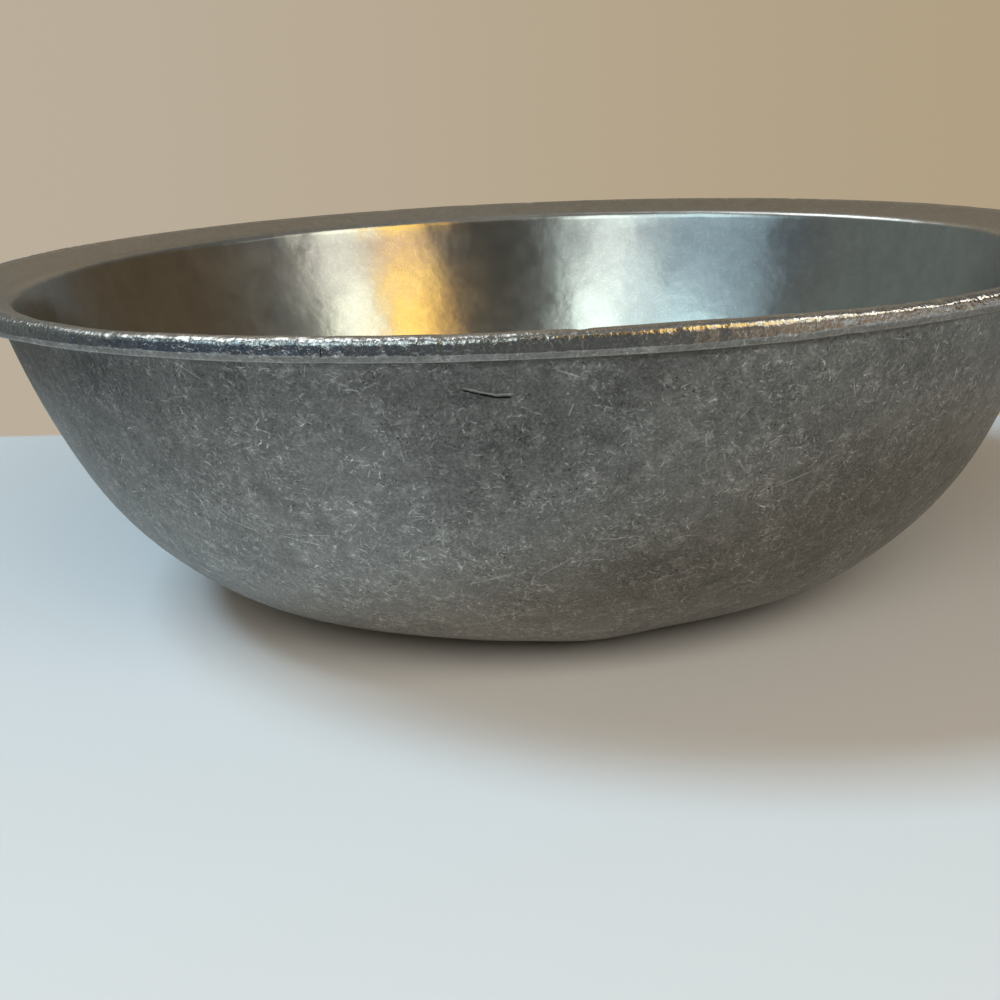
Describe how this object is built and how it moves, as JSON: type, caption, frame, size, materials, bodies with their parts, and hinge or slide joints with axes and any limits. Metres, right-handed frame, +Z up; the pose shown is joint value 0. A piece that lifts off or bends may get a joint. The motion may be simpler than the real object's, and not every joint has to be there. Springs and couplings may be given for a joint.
{
  "type": "serving bowl",
  "caption": "Round cast aluminium serving bowl: broad flared lip, overhanging rim, deep curved wall and a flat foot.",
  "frame": {"origin": "middle of the foot, on the surface that the bowl stands on", "axes": "+Z up along the axis that the bowl is turned about; X and Y lie level and are alike"},
  "size_m": [0.305, 0.305, 0.0916],
  "materials": {
    "cast_aluminium": "tumbled satin grey outside, burnished inside, worn bright at the rim"
  },
  "bodies": {
    "root": {"bowl": "cast_aluminium"}
  },
  "joints": []
}
